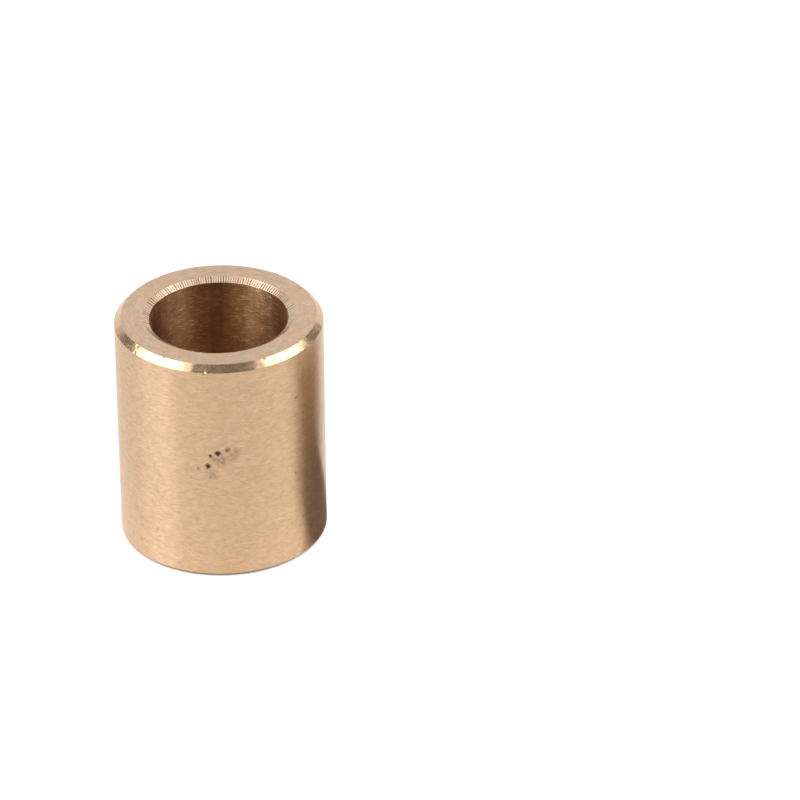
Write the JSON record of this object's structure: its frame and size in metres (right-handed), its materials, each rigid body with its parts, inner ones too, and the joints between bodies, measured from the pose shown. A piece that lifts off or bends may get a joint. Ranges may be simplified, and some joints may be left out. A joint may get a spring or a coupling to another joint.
{
  "type": "sleeve bushing",
  "caption": "Plain cylindrical sleeve bushing in solid bronze, with chamfered ends, that lines a housing hole and carries a rotating or sliding shaft in its bore.",
  "frame": {"origin": "centre of the lower end face, on the bore axis", "axes": "+Z along the bore axis, from the lower end face to the upper end face, which has the larger outer chamfer; X and Y are any two directions across it"},
  "size_m": [0.019, 0.019, 0.0222],
  "materials": {
    "bronze": "turned, satin, with a pinkish tan bearing-bronze colour"
  },
  "bodies": {
    "root": {"bushing_sleeve": "bronze"}
  },
  "joints": []
}
